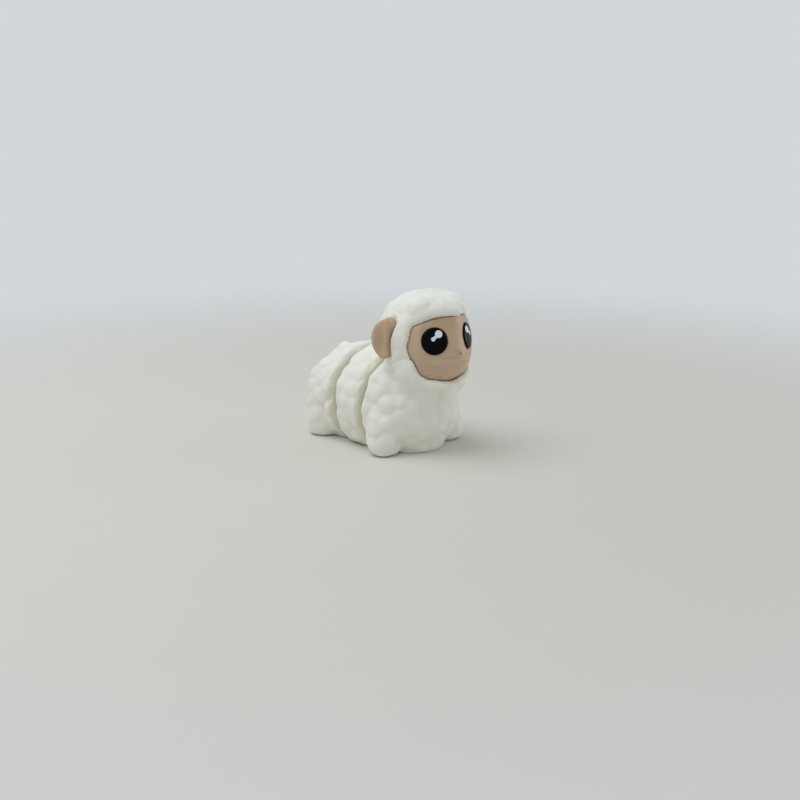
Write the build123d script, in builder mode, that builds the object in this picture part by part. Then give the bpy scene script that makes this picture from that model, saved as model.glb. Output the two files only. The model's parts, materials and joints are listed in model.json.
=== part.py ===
"""Sheep figurine that flexes: three woolly segments printed in place on captive hinges.

Millimetres, +X towards the nose, +Y to the sheep's left, +Z up, soles on Z = 0.
"""

import os
from math import atan2, cos, degrees, hypot, radians, sin, sqrt, tan

from build123d import *

# Clearances and cuts
overrun = 1.0
seat_clearance = 0.06
seam_clearance = 0.12
seam_aft = (0, 0, 180)

# Body barrel, shared by the three segments
barrel_radius = 16.2
barrel_axis_height = 12.3
rim_bevel = 0.9
shoulder_bevel = 2.0
front_rim_x = 2.3
middle_pitch = 12.1
rump_pitch = 16.4
rump_corner_radius = 7.0
rump_shelf_inset = 8.2
rump_shelf_drop = 2.5
rump_back_inset = 3.7
rump_back_drop = 9.1
rump_seat_height = 9.0

# Hinges: a post with a flared foot that stands in a pocket, and an eye printed round it
swing_limit = 6.0
swing_gap = 0.3
hinge_clearance = 0.4
eye_radius = 3.4
eye_height = 8.0
post_radius = 1.3
post_foot_radius = 2.1
post_foot_height = 1.0
lip_thickness = 1.0
tongue_width = 2.6

# Chest and front legs, with their distances forward of the rim
shoulder_length = 3.7
chest_inset = 0.8
chest_forward = 1.0
breast_radius = 9.0
breast_forward = 4.0
breast_height = 6.0
neck_radius = 9.9
neck_forward = 7.4
front_leg_radius = 4.9
front_leg_height = 14.0
front_leg_forward = 5.1
front_leg_proud = 0.1
sole_inset = 1.4
sole_rise = 2.0
knee_bevel = 3.0

# Rear legs and tail
rear_leg_radius = 4.8
rear_leg_height = 13.0
rear_leg_inset = 6.2
tail_radius = 2.6
tail_length = 5.8
tail_bevel = 1.2
tail_root_inset = 1.9
tail_root_rise = 1.8
tail_lean = -60.0

# Head of wool over the barrel; what it carries is given forward of, above or below its centre
head_radius = 12.8
head_forward = 8.8
head_rise = 5.2
overhang_gap = 1.0
cowl_inset = 0.6
cowl_front = 6.3
cowl_rear = 2.9
cowl_bevel = 1.2
fringe_radius = 4.4
fringe_front_forward = 8.8
fringe_front_rise = 7.5
fringe_corner_forward = 3.1
fringe_corner_rise = 6.4
fringe_spread = 7.4
fringe_end_bevel = 2.2
fringe_end_share = 0.4
ruff_forward = 1.2
ruff_root_drop = 18.2
ruff_root_radius = 8.6
ruff_drop = 8.9
ruff_radius = 12.0
ruff_top_drop = 4.2
ruff_top_radius = 10.0

# Face: a revolved muzzle with two flat eye planes that meet in the ridge of the nose
face_axis_forward = 3.5
face_radius = 11.3
face_girth_drop = 2.7
brow_arc_radius = 24.0
face_top_rise = 9.8
face_back_forward = 1.9
eye_plane_turn = 30.0
eye_plane_tilt = 10.0
ridge_rounding = 3.4
face_half_width = 11.1
face_widest_drop = 1.7
face_corner_inset = 1.0
face_corner_rise = 3.8
face_brow_rise = 6.6
face_jaw_inset = 1.3
face_jaw_drop = 7.0
face_chin_drop = 12.2
nose_width = 2.7
nose_height = 1.5
nose_rounding = 0.35
nose_drop = 3.3
nose_proud = 0.35

# Eyes and their highlights
pupil_forward = 10.9
pupil_spread = 6.13
pupil_rise = 0.1
pupil_radius = 3.65
pupil_seat_depth = 1.3
pupil_edge_proud = 0.4
pupil_dome_rise = 0.5
pupil_edge_bevel = 0.25
glint_depth = 0.5
glint_radius = 1.05
glint_forward = 1.05
glint_rise = 1.9
spark_radius = 0.6
spark_forward = -0.56
spark_rise = 0.57
glint_neck_width = 0.85

# Ears, with the outline in shares of the width and the length from the middle of the ear
ear_setback = 1.3
ear_proud = 0.3
ear_rise = 0.7
ear_turn = 65.0
ear_length = 12.6
ear_width = 7.3
ear_thickness = 3.2
ear_edge_bevel = 0.8
ear_fold_radius = 5.0
ear_fold_depth = 0.7
ear_peg_radius = 1.3
ear_peg_length = 2.4
ear_peg_rise = 2.0
ear_outline_shares = (
    (0.05, 0.44),
    (0.36, 0.45),
    (0.47, 0.25),
    (0.27, -0.08),
    (0.2, -0.39),
    (0.0, -0.5),
    (-0.2, -0.44),
    (-0.5, -0.03),
)

# Places that follow from the sizes above
barrel_top = barrel_axis_height + barrel_radius
middle_rim_x = front_rim_x - middle_pitch
rump_x = middle_rim_x - rump_pitch
rump_shelf_x = rump_x + rump_shelf_inset
rump_shelf_height = barrel_top - rump_shelf_drop
rump_back_x = rump_x + rump_back_inset
rump_back_height = barrel_top - rump_back_drop
rear_leg_x = rump_x + rear_leg_inset
rear_leg_spread = barrel_radius - rear_leg_radius
front_leg_x = front_rim_x + front_leg_forward
front_leg_spread = barrel_radius + front_leg_proud - front_leg_radius
head_x = front_rim_x + head_forward
head_height = barrel_top + head_rise
ruff_height = head_height - ruff_drop
face_axis_x = head_x + face_axis_forward
face_back_x = head_x + face_back_forward
face_girth_height = head_height - face_girth_drop
face_top = head_height + face_top_rise
face_widest_height = head_height - face_widest_drop
face_corner_spread = face_half_width - face_corner_inset
face_corner_height = head_height + face_corner_rise
face_jaw_spread = face_half_width - face_jaw_inset
face_jaw_height = head_height - face_jaw_drop
pupil_x = head_x + pupil_forward
pupil_height = head_height + pupil_rise
pocket_radius = eye_radius + hinge_clearance
pocket_height = eye_height + hinge_clearance
hinge_depth = pocket_radius + lip_thickness
front_hinge_x = front_rim_x + hinge_depth
middle_hinge_x = middle_rim_x + hinge_depth
swing = radians(swing_limit)
ear_seat_depth = ear_thickness / 2 + seat_clearance
ear_seat_reach = ear_thickness
face_gap = (hinge_depth + swing_gap) / cos(swing) - hinge_depth
barrel_axis = Axis((0, 0, barrel_axis_height), (1, 0, 0))


def save(piece, name):
    """Labels a finished piece and writes it under its own name."""
    piece.part.label = name
    export_step(piece.part, f"parts/{name}.step")


os.makedirs("parts", exist_ok=True)


def barrel_section(rear_x, front_x):
    """Half section of a ring of the barrel along X, ready to turn about its axis."""
    with BuildSketch(Plane.XZ) as section:
        with Locations((rear_x, barrel_axis_height)):
            Rectangle(front_x - rear_x, barrel_radius, align=Align.MIN)
        chamfer(section.vertices().group_by(Axis.Y)[-1].sort_by(Axis.X)[0], rim_bevel)
        chamfer(section.vertices().group_by(Axis.Y)[-1].sort_by(Axis.X)[-1], shoulder_bevel)
    return section.sketch


def wedge_plan(rim_x):
    """Plan of a following segment: two planes in front that swing clear of the rim ahead."""
    ridge_x = rim_x - face_gap
    reach = barrel_radius + overrun
    edge_x = ridge_x - reach * tan(swing)
    with BuildSketch(Plane.XY) as plan:
        with BuildLine():
            Polyline(
                (edge_x - barrel_radius * 2, -reach),
                (edge_x, -reach),
                (ridge_x, 0),
                (edge_x, reach),
                (edge_x - barrel_radius * 2, reach),
                close=True,
            )
        make_face()
    return plan.sketch


def post_section(extra):
    """Half section of the hinge post, grown by a clearance where a hole needs it."""
    flare = post_foot_radius - post_radius
    flare_foot = post_foot_height + extra * (sqrt(2) - 1)
    with BuildSketch(Plane.XZ) as section:
        with BuildLine():
            Polyline(
                (0, 0),
                (post_foot_radius + extra, 0),
                (post_foot_radius + extra, flare_foot),
                (post_radius + extra, flare_foot + flare),
                (post_radius + extra, pocket_height),
                (0, pocket_height),
                close=True,
            )
        make_face()
    return section.sketch


def stout_leg(radius, height):
    """A stout leg on its own axis: drawn in at the sole and bevelled at the shoulder."""
    with BuildPart() as leg:
        with BuildSketch(Plane.XZ):
            with BuildLine():
                Polyline(
                    (0, 0),
                    (radius - sole_inset, 0),
                    (radius, sole_rise),
                    (radius, height - knee_bevel),
                    (radius - knee_bevel, height),
                    (0, height),
                    close=True,
                )
            make_face()
        revolve(axis=Axis.Z)
    return leg.part


# Hinge tools, each drawn with the hinge axis on Z
mouth_rim_half_width = hinge_depth * tan(swing) + tongue_width / 2 / cos(swing) + hinge_clearance
mouth_axis_half_width = tongue_width / 2 + hinge_clearance
with BuildPart() as hinge_pocket:
    with BuildSketch(Plane.XY.offset(-overrun)):
        Circle(pocket_radius)
        with BuildLine():
            Polyline(
                (0, mouth_axis_half_width),
                (-hinge_depth - overrun, mouth_rim_half_width),
                (-hinge_depth - overrun, -mouth_rim_half_width),
                (0, -mouth_axis_half_width),
                close=True,
            )
        make_face()
    extrude(amount=pocket_height + overrun)
    revolve(post_section(0), axis=Axis.Z, mode=Mode.SUBTRACT)

tongue_root = barrel_axis_height * tan(swing) / 2
tongue_length = hinge_depth + face_gap + tongue_root
with BuildPart() as hinge_eye:
    Cylinder(eye_radius, eye_height, align=(Align.CENTER, Align.CENTER, Align.MIN))
    Box(tongue_length, tongue_width, eye_height, align=(Align.MAX, Align.CENTER, Align.MIN))
    revolve(post_section(hinge_clearance), axis=Axis.Z, mode=Mode.SUBTRACT)


# Face insert and its outline
turn = radians(eye_plane_turn)
tilt = radians(eye_plane_tilt)
eye_forward = cos(turn) * cos(tilt)
eye_sideways = sin(turn) * cos(tilt)
eye_upward = sin(tilt)
right_eye_plane = Plane(
    origin=(pupil_x, -pupil_spread, pupil_height),
    x_dir=(sin(turn), cos(turn), 0),
    z_dir=(eye_forward, -eye_sideways, eye_upward),
)
left_eye_plane = Plane(
    origin=(pupil_x, pupil_spread, pupil_height),
    x_dir=(sin(turn), -cos(turn), 0),
    z_dir=(eye_forward, eye_sideways, eye_upward),
)
ridge_x = pupil_x + pupil_spread * tan(turn)
ridge_plane = Plane(
    origin=(ridge_x, 0, pupil_height),
    x_dir=(eye_forward, 0, eye_upward),
    z_dir=(-eye_upward, 0, eye_forward),
)
ridge_slope = eye_sideways / hypot(eye_forward, eye_upward)


def face_outline(extra):
    """The outline of the face seen from ahead, grown by a seam where the head needs it."""
    with BuildSketch(Plane.YZ.offset(face_back_x)) as outline:
        with BuildLine():
            brow = ThreePointArc(
                (-face_corner_spread, face_corner_height),
                (0, head_height + face_brow_rise),
                (face_corner_spread, face_corner_height),
            )
            left_side = ThreePointArc(
                brow @ 1,
                (face_half_width, face_widest_height),
                (face_jaw_spread, face_jaw_height),
            )
            jaw = ThreePointArc(
                left_side @ 1,
                (0, head_height - face_chin_drop),
                (-face_jaw_spread, face_jaw_height),
            )
            ThreePointArc(jaw @ 1, (-face_half_width, face_widest_height), brow @ 0)
        make_face()
        if extra:
            offset(amount=extra)
    return outline.sketch


with BuildPart() as face_insert:
    extrude(face_outline(0), amount=face_axis_x + face_radius - face_back_x + overrun)
    with BuildSketch(Plane.XZ):
        with BuildLine():
            axis_foot = (face_axis_x, face_girth_height - face_radius)
            jowl = JernArc(axis_foot, (-1, 0), face_radius, -90)
            top_rise = face_top - face_girth_height
            top_inset = brow_arc_radius - sqrt(brow_arc_radius**2 - top_rise**2)
            top_x = face_axis_x - face_radius + top_inset
            brow_arc = TangentArc(jowl @ 1, (top_x, face_top), tangent=jowl % 1)
            Polyline(brow_arc @ 1, (face_axis_x, face_top), axis_foot)
        make_face()
    revolve(axis=Axis((face_axis_x, 0, 0), (0, 0, 1)), mode=Mode.INTERSECT)
    with BuildSketch(ridge_plane) as ridge:
        with BuildLine():
            Polyline(
                (0, 0),
                (-ridge_slope * face_radius * 2, face_radius * 2),
                (-face_radius * 2, face_radius * 2),
                (-face_radius * 2, -face_radius * 2),
                (-ridge_slope * face_radius * 2, -face_radius * 2),
                close=True,
            )
        make_face()
        fillet(ridge.vertices().sort_by(Axis.X)[-1], ridge_rounding)
    extrude(amount=face_radius * 2, both=True, mode=Mode.INTERSECT)
    for eye_plane in (right_eye_plane, left_eye_plane):
        with Locations(eye_plane):
            Cylinder(
                pupil_radius + seat_clearance,
                pupil_seat_depth,
                align=(Align.CENTER, Align.CENTER, Align.MAX),
                mode=Mode.SUBTRACT,
            )
            Cylinder(
                pupil_radius + seat_clearance,
                pupil_radius,
                align=(Align.CENTER, Align.CENTER, Align.MIN),
                mode=Mode.SUBTRACT,
            )
    with BuildSketch(Plane.YZ.offset(face_axis_x)) as nose:
        with Locations((0, head_height - nose_drop)):
            Polygon(
                (-nose_width / 2, nose_height / 2),
                (0, -nose_height / 2),
                (nose_width / 2, nose_height / 2),
                align=None,
            )
        fillet(nose.vertices(), nose_rounding)
    extrude(amount=face_radius + nose_proud)


# Right eye and its highlight
dome_radius = (pupil_radius**2 + pupil_dome_rise**2) / (2 * pupil_dome_rise)
dome_top = pupil_edge_proud + pupil_dome_rise
glint_floor = right_eye_plane.offset(dome_top - glint_depth)


def glint_outline(extra):
    """Outline of the highlight, a large and a small round joined by a neck."""
    forward = glint_forward - spark_forward
    rise = glint_rise - spark_rise
    with BuildSketch(glint_floor) as outline:
        with Locations((glint_forward, glint_rise)):
            Circle(glint_radius + extra)
        with Locations((spark_forward, spark_rise)):
            Circle(spark_radius + extra)
        with Locations(((glint_forward + spark_forward) / 2, (glint_rise + spark_rise) / 2)):
            SlotCenterToCenter(
                hypot(forward, rise), glint_neck_width + 2 * extra, rotation=degrees(atan2(rise, forward))
            )
    return outline.sketch


with BuildPart(right_eye_plane) as right_eye:
    with Locations((0, 0, -pupil_seat_depth)):
        Cylinder(
            pupil_radius,
            pupil_seat_depth + dome_top,
            align=(Align.CENTER, Align.CENTER, Align.MIN),
        )
    with Locations((0, 0, dome_top - dome_radius)):
        Sphere(dome_radius, mode=Mode.INTERSECT)
    rim = right_eye.edges().filter_by(GeomType.CIRCLE).group_by(SortBy.LENGTH)[-1].sort_by(Axis.X)[-1]
    chamfer(rim, pupil_edge_bevel)
    extrude(glint_outline(seat_clearance), amount=glint_depth + overrun, mode=Mode.SUBTRACT)

with BuildPart(right_eye_plane) as right_eye_glint:
    extrude(glint_outline(0), amount=glint_depth)
    with Locations((0, 0, dome_top - dome_radius)):
        Sphere(dome_radius, mode=Mode.INTERSECT)


# Right ear, drawn on its own plane, seated in a shallow recess of the head and pegged into it
def ear_plane(side):
    """Plane of an ear, square to the way it faces; side is -1 on the right and 1 on the left."""
    facing = radians(ear_turn)
    return Plane(
        origin=(head_x - ear_setback, side * (head_radius + ear_proud), head_height + ear_rise),
        x_dir=(sin(facing), -side * cos(facing), 0),
        z_dir=(cos(facing), side * sin(facing), 0),
    )


def ear_outline(side, extra):
    """Outline of an ear on its own plane, grown by a clearance where the head needs it."""
    points = [
        (across * ear_width, -side * along * ear_length) for across, along in ear_outline_shares
    ]
    with BuildSketch(ear_plane(side)) as outline:
        with BuildLine():
            for first in range(0, len(points), 2):
                start, middle, end = (points[(first + step) % len(points)] for step in range(3))
                ThreePointArc(start, middle, end)
        make_face()
        if extra:
            offset(amount=extra)
    return outline.sketch


with BuildPart(ear_plane(-1)) as right_ear:
    extrude(ear_outline(-1, 0), amount=ear_thickness / 2, both=True)
    outer_face = right_ear.faces().filter_by(GeomType.PLANE).sort_by(Axis.Y)[0]
    chamfer(outer_face.edges(), ear_edge_bevel)
    with Locations((0, 0, ear_thickness / 2 + ear_fold_radius - ear_fold_depth)):
        Cylinder(ear_fold_radius, ear_length * 2, rotation=(90, 0, 0), mode=Mode.SUBTRACT)
    with Locations((0, ear_peg_rise, 0)):
        Cylinder(
            ear_peg_radius,
            ear_thickness / 2 + ear_peg_length,
            align=(Align.CENTER, Align.CENTER, Align.MAX),
        )

# One half of the fringe, a roll from the middle of the brow to a corner of the face
head_centre = Vector(head_x, 0, head_height)
fringe_front = head_centre + Vector(fringe_front_forward, 0, fringe_front_rise)
fringe_corner = head_centre + Vector(fringe_corner_forward, -fringe_spread, fringe_corner_rise)
fringe_run = fringe_corner - fringe_front
fringe_length = fringe_run.length + fringe_radius * 2
with BuildPart() as fringe:
    with Locations(Plane(origin=fringe_corner, z_dir=fringe_run)):
        with Locations((0, 0, fringe_radius * fringe_end_share)):
            Cylinder(
                fringe_radius,
                fringe_length,
                align=(Align.CENTER, Align.CENTER, Align.MAX),
            )
    chamfer(fringe.edges().sort_by(Axis.Y)[0], fringe_end_bevel)
    split(bisect_by=Plane.XZ, keep=Keep.TOP)

front_leg = stout_leg(front_leg_radius, front_leg_height)
rear_leg = stout_leg(rear_leg_radius, rear_leg_height)

# Ruff of wool that opens upwards under the chin, on its own axis
with BuildPart() as ruff:
    with BuildSketch(Plane.XZ):
        with BuildLine():
            Polyline(
                (0, head_height - ruff_root_drop),
                (ruff_root_radius, head_height - ruff_root_drop),
                (ruff_radius, ruff_height),
                (ruff_top_radius, head_height - ruff_top_drop),
                (0, head_height - ruff_top_drop),
                close=True,
            )
        make_face()
    revolve(axis=Axis.Z)

# Cowl of wool round the face, on the axis of the head
with BuildPart() as cowl:
    with Locations(Plane(origin=(head_x + cowl_rear, 0, head_height), z_dir=(1, 0, 0))):
        Cylinder(
            head_radius - cowl_inset,
            cowl_front - cowl_rear,
            align=(Align.CENTER, Align.CENTER, Align.MIN),
        )
    chamfer(cowl.faces().sort_by(Axis.X)[-1].edges(), cowl_bevel)

with BuildPart() as front_segment:
    with BuildSketch(Plane.XZ):
        add(barrel_section(front_rim_x, front_rim_x + shoulder_length))
        with Locations((front_rim_x + chest_forward, barrel_axis_height)):
            Circle(barrel_radius - chest_inset)
        with Locations((front_rim_x, barrel_axis_height)):
            Rectangle(barrel_radius * 2, barrel_radius, align=Align.MIN, mode=Mode.INTERSECT)
    revolve(axis=barrel_axis)
    split(bisect_by=Plane.XY, keep=Keep.TOP)
    with Locations((front_rim_x + breast_forward, 0)):
        Cylinder(breast_radius, breast_height, align=(Align.CENTER, Align.CENTER, Align.MIN))
    with Locations((front_rim_x + neck_forward, 0, barrel_axis_height)):
        Cylinder(
            neck_radius,
            ruff_height - barrel_axis_height,
            align=(Align.CENTER, Align.CENTER, Align.MIN),
        )
    with Locations((front_leg_x, -front_leg_spread), (front_leg_x, front_leg_spread)):
        add(front_leg)
    with Locations((head_x, 0, head_height)):
        Sphere(head_radius, rotation=seam_aft)
    with Locations((head_x + ruff_forward, 0, 0)):
        add(ruff.part)
    add(cowl.part)
    add(fringe.part)
    mirror(fringe.part, about=Plane.XZ)
    with BuildSketch(Plane.XZ):
        with Locations((front_rim_x, -overrun)):
            Rectangle(head_radius, barrel_top + overhang_gap + overrun, align=(Align.MAX, Align.MIN))
    extrude(amount=head_radius, both=True, mode=Mode.SUBTRACT)
    extrude(face_outline(seam_clearance), amount=head_radius * 2, mode=Mode.SUBTRACT)
    for side in (-1, 1):
        extrude(ear_outline(side, seat_clearance), amount=ear_seat_reach, mode=Mode.SUBTRACT)
        extrude(ear_outline(side, seat_clearance), amount=-ear_seat_depth, mode=Mode.SUBTRACT)
        with Locations(ear_plane(side)):
            with Locations((0, -side * ear_peg_rise, 0)):
                Cylinder(
                    ear_peg_radius + seat_clearance,
                    ear_thickness / 2 + ear_peg_length + seat_clearance,
                    align=(Align.CENTER, Align.CENTER, Align.MAX),
                    mode=Mode.SUBTRACT,
                )
    with Locations((front_hinge_x, 0, 0)):
        add(hinge_pocket.part, mode=Mode.SUBTRACT)

with BuildPart() as middle_segment:
    revolve(barrel_section(middle_rim_x, front_rim_x - face_gap), axis=barrel_axis)
    split(bisect_by=Plane.XY, keep=Keep.TOP)
    extrude(wedge_plan(front_rim_x), amount=barrel_top + overrun, mode=Mode.INTERSECT)
    with Locations((front_hinge_x, 0, 0)):
        add(hinge_eye.part)
    with Locations((middle_hinge_x, 0, 0)):
        add(hinge_pocket.part, mode=Mode.SUBTRACT)

# Tail, a short blunt stub that leans back
tail_root = (rump_back_x + tail_root_inset, 0, rump_back_height + tail_root_rise)
with BuildPart() as tail:
    with Locations(Plane(origin=tail_root).rotated((0, tail_lean, 0))):
        Cylinder(tail_radius, tail_length, align=(Align.CENTER, Align.CENTER, Align.MIN))
    chamfer(tail.faces().sort_by(Axis.X)[0].edges(), tail_bevel)

# Outlines of the rump from the side and from above
rear_front_x = middle_rim_x - face_gap
with BuildPart() as rump_side:
    with BuildSketch(Plane.XZ):
        with BuildLine():
            back = ThreePointArc(
                (rump_shelf_x, rump_shelf_height),
                (rump_back_x, rump_back_height),
                (rump_x, rump_seat_height),
            )
            Polyline(
                back @ 1,
                (rump_x, -overrun),
                (rear_front_x + overrun, -overrun),
                (rear_front_x + overrun, barrel_top + overrun),
                (rear_front_x, barrel_top),
                back @ 0,
            )
        make_face()
    extrude(amount=barrel_radius + overrun, both=True)
with BuildPart() as rump_plan:
    with BuildSketch(Plane.XY.offset(-overrun)) as plan:
        with Locations((rump_x, 0)):
            Rectangle(rump_pitch + overrun, barrel_radius * 2, align=(Align.MIN, Align.CENTER))
        fillet(plan.vertices().group_by(Axis.X)[0], rump_corner_radius)
    extrude(amount=barrel_top + overrun * 2)

with BuildPart() as rear_segment:
    revolve(barrel_section(rump_x, rear_front_x), axis=barrel_axis)
    split(bisect_by=Plane.XY, keep=Keep.TOP)
    add(rump_side.part, mode=Mode.INTERSECT)
    add(rump_plan.part, mode=Mode.INTERSECT)
    with Locations((rear_leg_x, -rear_leg_spread), (rear_leg_x, rear_leg_spread)):
        add(rear_leg)
    extrude(wedge_plan(middle_rim_x), amount=barrel_top + overrun, mode=Mode.INTERSECT)
    add(tail.part)
    with Locations((middle_hinge_x, 0, 0)):
        add(hinge_eye.part)


def mirrored(piece):
    """The same piece for the sheep's left side."""
    with BuildPart() as twin:
        mirror(piece.part, about=Plane.XZ)
    return twin


save(front_segment, "front_segment")
save(middle_segment, "middle_segment")
save(rear_segment, "rear_segment")
save(face_insert, "face_insert")
save(right_ear, "right_ear")
save(mirrored(right_ear), "left_ear")
save(right_eye, "right_eye")
save(mirrored(right_eye), "left_eye")
save(right_eye_glint, "right_eye_glint")
save(mirrored(right_eye_glint), "left_eye_glint")
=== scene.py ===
"""Looks of the flexing sheep figurine: woolly segments, tan face and ears, glossy eyes."""

import json
import math
import random
from typing import NamedTuple

import bmesh
import bpy
from bpy.props import FloatProperty, FloatVectorProperty, IntProperty, PointerProperty
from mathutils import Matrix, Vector, kdtree, noise
from mathutils.bvhtree import BVHTree


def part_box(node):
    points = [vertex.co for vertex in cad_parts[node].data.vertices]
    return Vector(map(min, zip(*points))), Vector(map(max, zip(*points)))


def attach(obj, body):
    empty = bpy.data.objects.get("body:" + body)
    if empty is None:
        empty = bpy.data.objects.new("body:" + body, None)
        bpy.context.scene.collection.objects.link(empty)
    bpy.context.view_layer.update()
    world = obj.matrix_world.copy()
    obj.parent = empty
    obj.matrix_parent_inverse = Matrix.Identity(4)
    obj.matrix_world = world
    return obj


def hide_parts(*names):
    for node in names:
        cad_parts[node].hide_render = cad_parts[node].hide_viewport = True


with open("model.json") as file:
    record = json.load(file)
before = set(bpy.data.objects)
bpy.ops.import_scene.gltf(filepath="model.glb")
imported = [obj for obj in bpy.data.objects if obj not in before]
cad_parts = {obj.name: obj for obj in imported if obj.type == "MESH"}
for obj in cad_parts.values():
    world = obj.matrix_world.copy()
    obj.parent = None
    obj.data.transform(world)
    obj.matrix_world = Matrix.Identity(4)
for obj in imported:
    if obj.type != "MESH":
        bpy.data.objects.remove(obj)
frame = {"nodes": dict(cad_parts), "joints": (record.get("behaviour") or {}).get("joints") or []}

bl_info = {
    "name": "Flexing Sheep Figurine",
    "version": (1, 0, 0),
    "blender": (4, 5, 0),
    "location": "3D View > Sidebar > Sheep",
    "description": "Dresses the packed sheep: fleece, face, ears, eyes and a small studio",
    "category": "Object",
}

MM = 0.001


class Dent(NamedTuple):
    """A round hollow or fold of an ear: its depth, and its middle and reach across and along the ear."""

    depth: float
    across: float
    width: float
    along: float
    length: float

    def at(self, across, along):
        """Share of the depth at a place, 1 in the middle and next to 0 far off."""
        return bell((across - self.across) / self.width, (along - self.along) / self.length)


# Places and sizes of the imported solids
FRONT_RIM_X = 2.3 * MM
MIDDLE_RIM_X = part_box("middle_segment")[0].x
OVERHANG_Z = 29.5 * MM
HINGE_X = [joint["pos_m"][0] for joint in frame["joints"]]
SWING = math.radians(frame["joints"][0]["range_deg"][1])
WEDGE_GAP = 0.33 * MM
FACE_FRONT_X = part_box("face_insert")[1].x
NOSE_Z = 30.2 * MM
EAR_ROOT = (9.8 * MM, 13.1 * MM)
EAR_TURN = math.radians(65)

# Room round each hinge in which the fleece stays as the solids are
HINGE_CLEAR_RADIUS = 4.9 * MM
HINGE_CLEAR_HEIGHT = 9.2 * MM
HINGE_MOUTH_LENGTH = 2 * HINGE_CLEAR_RADIUS

# Places where the fleece stands further out or lies lower than the solids:
# place, reach and rise in millimetres
SWELLS = {
    "front_segment": (
        ((15.5, -5.0, 44.0), 8.0, 0.8),
        ((15.5, 5.0, 44.0), 8.0, 0.8),
        ((6.0, 0.0, 46.0), 9.0, -0.6),
        ((10.0, -15.5, 3.0), 8.0, 0.6),
        ((10.0, 15.5, 3.0), 8.0, 0.6),
        ((22.0, -4.5, 41.5), 5.0, 0.5),
        ((22.0, 4.5, 41.5), 5.0, 0.5),
        ((12.8, -11.0, 28.6), 4.0, 0.7),
        ((12.8, 11.0, 28.6), 4.0, 0.7),
        ((18.5, -9.5, 24.5), 3.6, 0.5),
        ((18.5, 9.5, 24.5), 3.6, 0.5),
        ((21.0, -6.0, 22.5), 6.0, 0.6),
        ((21.0, 6.0, 22.5), 6.0, 0.6),
    ),
    "middle_segment": (),
    "rear_segment": (
        ((-22.0, 0.0, 22.0), 5.0, 0.6),
        ((-27.5, 0.0, 24.5), 5.0, 1.6),
        ((-21.5, -15.5, 7.0), 8.0, 0.45),
        ((-21.5, 15.5, 7.0), 8.0, 0.45),
    ),
}

# Places where the seam round the face runs off the solids' seam, on the side where y is over 0:
# place, reach and move in millimetres
PULLS = (
    ((16.2, 10.2, 27.2), 5.0, (0.9, 0.0, 1.4)),
    ((20.5, 8.3, 24.8), 5.0, (-0.5, 0.0, -1.2)),
    ((22.5, 5.6, 23.4), 4.5, (-0.2, 0.0, -0.6)),
)

# Distances over which a share of the fleece's shaping grows from 0 to 1
RIM_EASE = (0.2 * MM, 1.6 * MM)
OVERHANG_EASE = (0.2 * MM, 1.4 * MM)
OVERHANG_REACH = 1.5 * MM
OVERHANG_FADE = 1 * MM
SOLE_EASE = (0, 1.1 * MM)
NEIGHBOUR_EASE = (0.1 * MM, 1.3 * MM)
LIP_RISE_EASE = (0.1 * MM, 0.9 * MM)
LIP_FALL_EASE = (1.6 * MM, 4 * MM)
HEAD_EASE = (25 * MM, 31 * MM)

# Softening of the fleece: a light round for everything, then a strong one, each with its furthest move
SMALL_MOVE = 0.1 * MM
LIGHT_ROUNDS = 14
LIGHT_MOVE = 0.4 * MM
LIGHT_SOLE_EASE = (0, 1 * MM)
STRONG_MOVE = 2.6 * MM
STRONG_SOLE_EASE = (0, 2.8 * MM)
STRONG_NEIGHBOUR_EASE = (0, 3.6 * MM)
ROUNDS_FACE_SIZE = 0.35 * MM
NEIGHBOUR_REACH = 4 * MM

# Lumps of the fleece, as shares of their spacing and of their depth
FLEECE_SEEDS = (11, 23, 37)
LUMP_SHARPNESS = 5.5
CENTRE_SPACING_SHARE = 0.8
LUMP_REACH_SHARES = (0.6, 0.85)
LUMP_RISE_SHARES = (0.75, 1.1)
NEAREST_LUMPS = 6
VALLEY_SHARE = -0.5
LOWEST_SHARE = -1
HEAD_LEVEL_SHARE = 0.3
RIM_LUMP_SHARE = 1.1
RIM_LEVEL_SHARE = 0.75
# Painted shade of the fleece, as shares of its tone: where it has no lumps, and what is kept at the rims,
# darker in the gaps between segments
BARE_CREST_SHARE = 0.7
RIM_SHADE_SHARE = 0.35

# Softening of the face, and the painted shade of its seam with the fleece, lighter along the brow
FACE_ROUNDS = 14
EYE_EASE = (0.1 * MM, 0.7 * MM)
NOSE_ROUNDS = 60
NOSE_EASE = (1.5 * MM, 4 * MM)
SEAM_START = 0.04 * MM
SEAM_REACH = 2 * MM
BROW_FADE_SHARE = 0.75
BROW_EASE = (36 * MM, 39 * MM)

# Crease of the muzzle, and the notch, folds and mound of the nose, and the reach of the painted shade in the
# notch
NOSE_FROM_X = 20 * MM
NOTCH_SHADE_WIDTH = 0.45 * MM
NOTCH_SHADE_HEIGHT = 0.3 * MM
CREASE_DEPTH = 0.4 * MM
CREASE_DROP = 1.3 * MM
CREASE_WIDTH = 0.45 * MM
CREASE_REACH = 6 * MM
CREASE_FADE = 3 * MM
NOTCH_DEPTH = 0.4 * MM
NOTCH_WIDTH = 0.4 * MM
NOTCH_HEIGHT = 0.3 * MM
FOLD_DEPTH = 0.16 * MM
FOLD_SLOPE = 0.35
FOLD_WIDTH = 0.28 * MM
FOLD_REACH = 2.2 * MM
FOLD_FADE = 1.2 * MM
MOUND_HEIGHT = 0.2 * MM
MOUND_RISE = 1.2 * MM
MOUND_WIDTH = 1.3 * MM
MOUND_REACH = 0.8 * MM

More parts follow.
